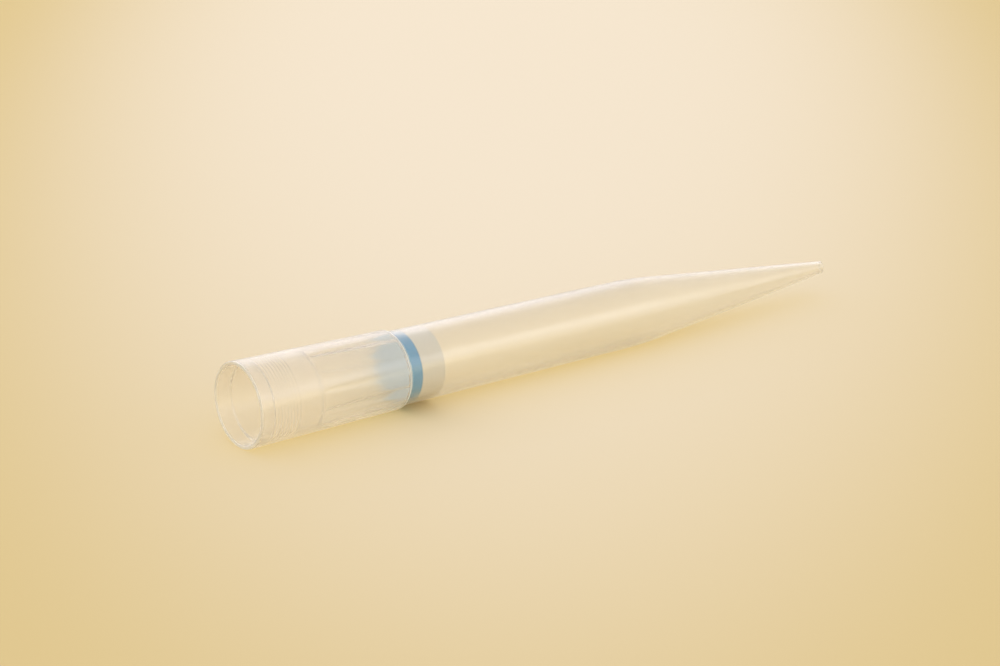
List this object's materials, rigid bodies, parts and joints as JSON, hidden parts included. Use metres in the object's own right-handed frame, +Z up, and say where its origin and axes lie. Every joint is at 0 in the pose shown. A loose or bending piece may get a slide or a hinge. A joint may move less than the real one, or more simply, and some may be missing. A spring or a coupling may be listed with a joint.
{
  "type": "pipette tip",
  "caption": "Translucent filter pipette tip lying on its side: tapered collar with sealing rings and ribs, straight body, long cone, blue and white porous filter.",
  "frame": {"origin": "middle of the lying tip's bounding box, on the surface it lies on", "axes": "+X from the mouth towards the point, along the surface; +Z up; the tip's own axis dips by 1.0 degree towards the point, because the tip rests on its mouth's lip and its shoulder"},
  "size_m": [0.1202, 0.014, 0.014],
  "materials": {
    "natural_polypropylene": "translucent moulded, smooth",
    "blue_porous_filter": "sintered, porous",
    "white_porous_filter": "sintered, porous"
  },
  "bodies": {
    "root": {"tip_body": "natural_polypropylene", "blue_filter_layer": "blue_porous_filter", "white_filter_layer": "white_porous_filter"}
  },
  "joints": []
}
